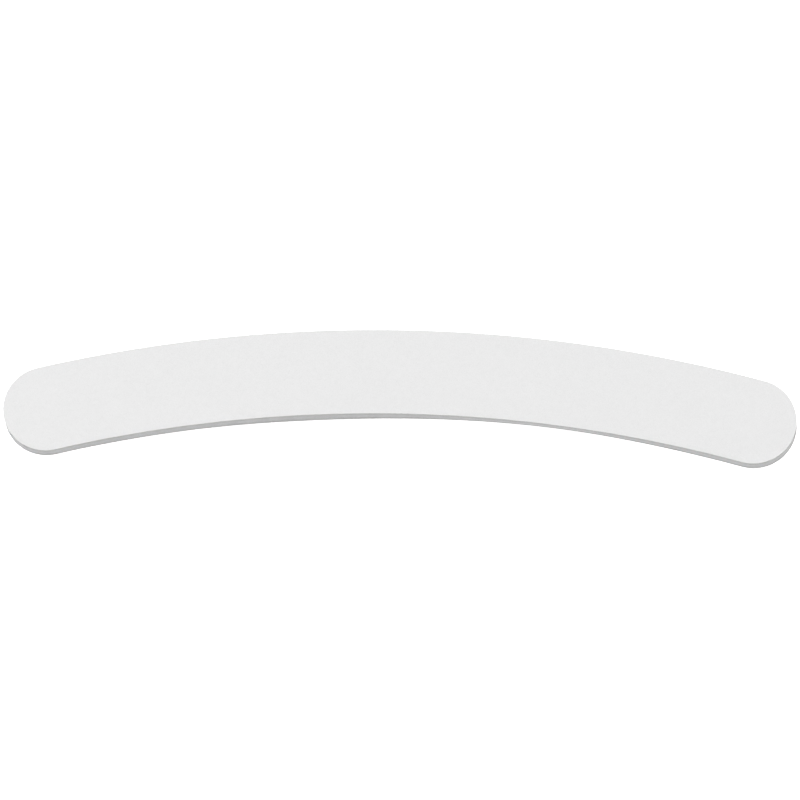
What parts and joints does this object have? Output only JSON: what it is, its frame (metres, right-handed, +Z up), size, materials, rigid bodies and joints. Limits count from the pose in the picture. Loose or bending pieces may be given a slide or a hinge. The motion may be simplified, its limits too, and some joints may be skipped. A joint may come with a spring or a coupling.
{
  "type": "curved nail buffer",
  "caption": "Slim arched nail buffer with half-round ends, abrasive on both faces over foam cushions and a flat plastic core.",
  "frame": {"origin": "centre of the bounding box's underside, where the buffer rests on a table", "axes": "+X along the buffer, +Y across it towards the convex edge, +Z up through the layers"},
  "size_m": [0.178, 0.0294, 0.004],
  "materials": {
    "grit_coat": "matt white abrasive coat with fine angular grain",
    "backing_paper": "matt pale grey latex paper, fibrous where it is cut",
    "adhesive_film": "clear acrylic adhesive film, glossy where it has crept out",
    "foam": "matt pale grey closed-cell EVA foam with cut cells",
    "core_plastic": "satin pale grey polystyrene with a die-cut edge"
  },
  "bodies": {
    "root": {"bottom_grit_coat": "grit_coat", "bottom_backing_paper": "backing_paper", "bottom_paper_adhesive": "adhesive_film", "bottom_foam_cushion": "foam", "bottom_core_adhesive": "adhesive_film", "core_board": "core_plastic", "top_core_adhesive": "adhesive_film", "top_foam_cushion": "foam", "top_paper_adhesive": "adhesive_film", "top_backing_paper": "backing_paper", "top_grit_coat": "grit_coat"}
  },
  "joints": []
}
